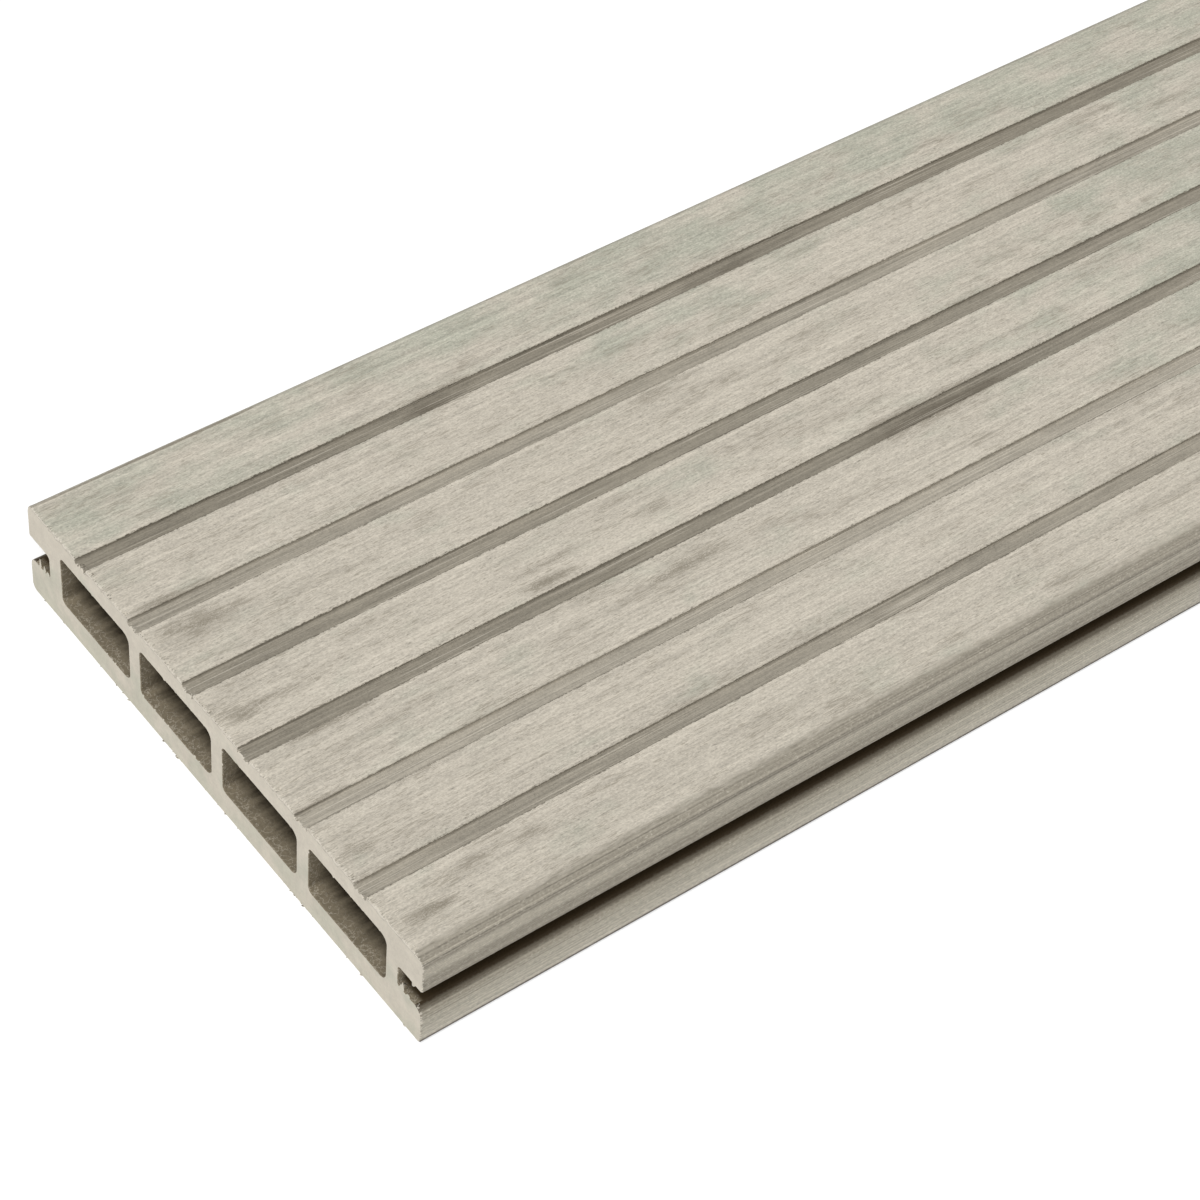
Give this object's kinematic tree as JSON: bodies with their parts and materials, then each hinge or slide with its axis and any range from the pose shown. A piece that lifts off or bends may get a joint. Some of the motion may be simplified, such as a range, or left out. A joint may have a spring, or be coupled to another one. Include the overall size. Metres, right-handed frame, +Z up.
{
  "type": "decking board",
  "caption": "Hollow decking board with chambers along its length, shallow drip grooves in its top face and a slot for hidden clips in each side.",
  "frame": {"origin": "middle of the underside, halfway between the two sawn ends", "axes": "+X along the board, +Y across it, +Z up through its thickness to the grooved face"},
  "size_m": [2.2, 0.14, 0.025],
  "materials": {
    "wood_composite": "matte"
  },
  "bodies": {
    "root": {"decking_board": "wood_composite"}
  },
  "joints": []
}
